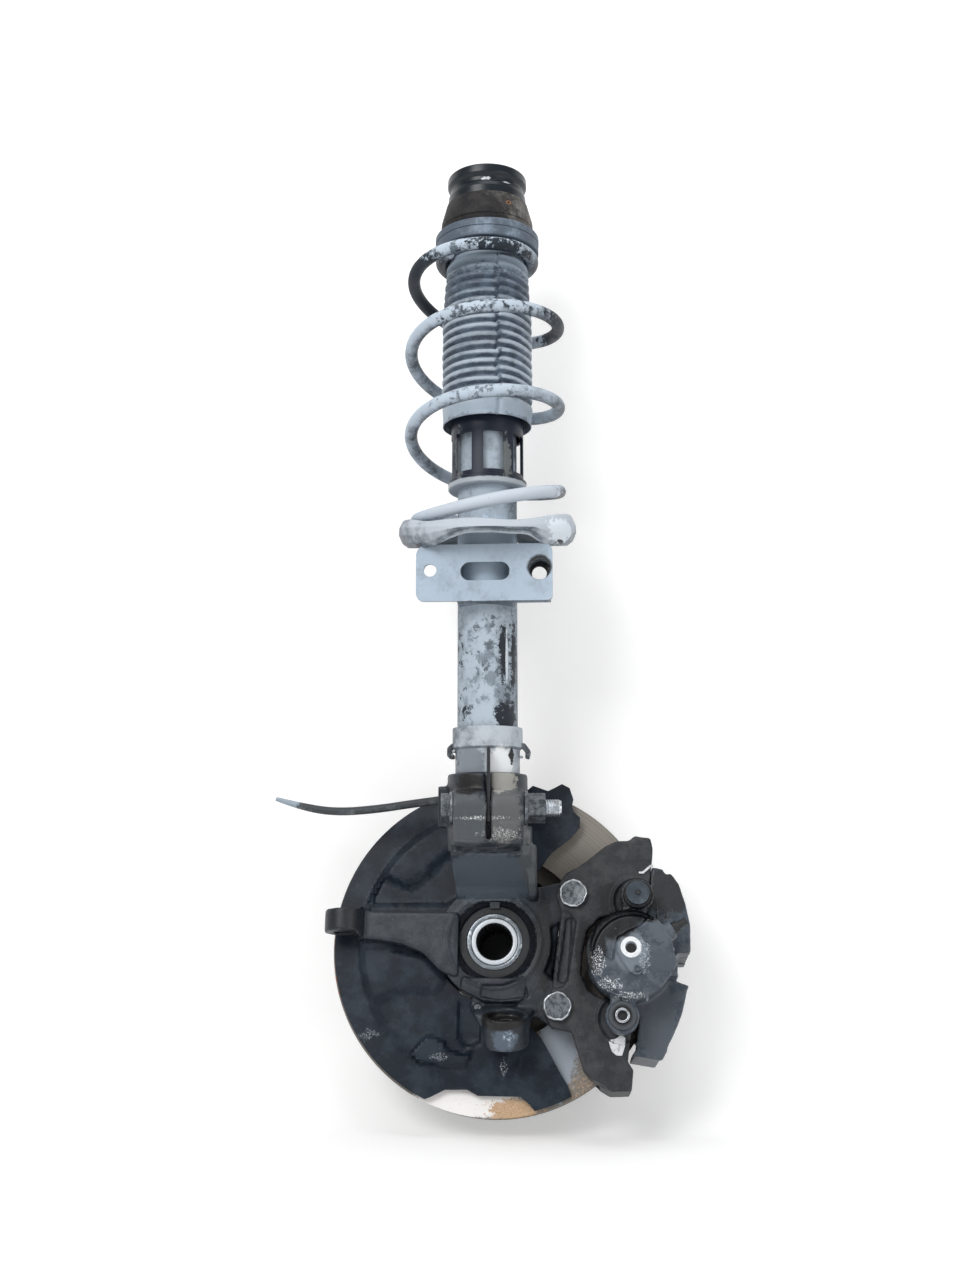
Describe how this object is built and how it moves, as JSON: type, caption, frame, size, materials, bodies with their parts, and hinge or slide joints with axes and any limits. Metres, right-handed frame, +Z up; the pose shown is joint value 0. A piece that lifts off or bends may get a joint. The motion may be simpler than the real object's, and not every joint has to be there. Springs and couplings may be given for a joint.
{
  "type": "coilover",
  "caption": "Front suspension strut with side-load coil spring, bellows and anti-roll link bracket, clamped in a steering knuckle with wheel hub, vented disc, shield and floating caliper.",
  "frame": {"origin": "on the damper axis, at the top face of the rubber top mount", "axes": "+Z up the damper axis towards the car's body, -Y towards the middle of the car, +X towards the brake caliper"},
  "size_m": [0.3574, 0.1819, 0.8315],
  "materials": {
    "mount_rubber": "matt moulded rubber",
    "sleeve_steel": "turned steel",
    "nut_zinc": "zinc plated",
    "bearing_plastic": "dusty moulded plastic",
    "seat_black": "black coated pressing",
    "bearing_steel": "ground steel",
    "pad_rubber": "moulded rubber",
    "bump_foam": "cellular foam",
    "rod_chrome": "ground and plated",
    "inner_steel": "drawn steel",
    "tube_black": "black paint, dusty",
    "cage_plastic": "moulded plastic",
    "spring_black": "powder coat with pale dust",
    "bellows_rubber": "dusty moulded rubber",
    "collar_steel": "black paint over steel",
    "knuckle_iron": "sand cast, dark",
    "bolt_steel": "worn plating",
    "seal_rubber": "moulded seal",
    "hub_steel": "forged, machined faces",
    "disc_iron": "light rust",
    "shield_black": "black coated sheet",
    "carrier_iron": "sand cast, dark",
    "clip_steel": "spring steel",
    "caliper_iron": "sand cast, dark",
    "bush_rubber": "moulded bush",
    "cap_plastic": "dark steel-blue plastic cap",
    "piston_steel": "plated steel",
    "lining": "friction material",
    "lead_black": "cable sheath"
  },
  "bodies": {
    "top_mount": {"mount_rubber": "mount_rubber", "mount_sleeve": "sleeve_steel", "rod_nut": "nut_zinc", "steering_bearing_shell": "bearing_plastic", "bump_stop": "bump_foam", "piston_rod": "rod_chrome", "damper_piston": "inner_steel"},
    "spring_seat": {"steering_bearing_ring": "seat_black", "steering_balls": "bearing_steel", "upper_spring_seat": "seat_black", "spring_pad": "pad_rubber", "coil_spring": "spring_black", "dust_bellows": "bellows_rubber"},
    "strut": {"strut_tube": "tube_black", "rod_guide": "inner_steel", "pressure_tube": "inner_steel", "base_valve": "inner_steel", "bellows_cage": "cage_plastic", "lower_spring_seat": "seat_black", "link_bracket": "tube_black", "tube_collar": "collar_steel", "locating_fin": "tube_black", "steering_knuckle": "knuckle_iron", "pinch_bolt": "bolt_steel", "pinch_nut": "bolt_steel", "bearing_outer_ring": "bearing_steel", "bearing_seals": "seal_rubber", "bearing_clip": "bearing_steel", "splash_shield": "shield_black", "shield_screws": "bolt_steel", "caliper_carrier": "carrier_iron", "pad_clips": "clip_steel", "carrier_bolts": "bolt_steel", "guide_pins": "bolt_steel", "sensor_lead": "lead_black", "lead_grommet": "lead_black"},
    "hub": {"wheel_hub": "hub_steel", "hub_plug": "seal_rubber", "bearing_inner_ring": "bearing_steel", "wheel_bearing_balls": "bearing_steel", "brake_disc": "disc_iron", "disc_screw": "bolt_steel"},
    "caliper": {"caliper_housing": "caliper_iron", "guide_bushes": "bush_rubber", "guide_cap": "cap_plastic", "bleed_screw": "bolt_steel", "piston_seal": "seal_rubber", "piston_boot": "bush_rubber", "outer_pad_lining": "lining", "outer_pad_backing": "caliper_iron"},
    "piston": {"caliper_piston": "piston_steel", "inner_pad_backing": "caliper_iron", "inner_pad_lining": "lining"}
  },
  "joints": [
    {"name": "steer", "type": "hinge", "parent": "top_mount", "child": "spring_seat", "pos_m": [0, 0, -0.05], "axis": [0, 0, 1], "range_deg": [-38, 38]},
    {"name": "damper_stroke", "type": "slide", "parent": "spring_seat", "child": "strut", "axis": [0, 0, 1], "range_m": [0, 0.105], "stiffness_N_per_m": 20000, "springref_m": -0.01, "deforming": ["coil_spring", "dust_bellows"]},
    {"name": "wheel_spin", "type": "hinge", "parent": "strut", "child": "hub", "pos_m": [0.0037, 0.025, -0.6712], "axis": [0, 0.9763, -0.2164], "continuous": true},
    {"name": "caliper_float", "type": "slide", "parent": "strut", "child": "caliper", "axis": [0, 0.9763, -0.2164], "range_m": [0, 0.004]},
    {"name": "piston_stroke", "type": "slide", "parent": "caliper", "child": "piston", "axis": [0, 0.9763, -0.2164], "range_m": [-0.008, 0]}
  ],
  "couplings": [
    {"joint": "piston_stroke", "follows": "caliper_float", "ratio": -2}
  ]
}
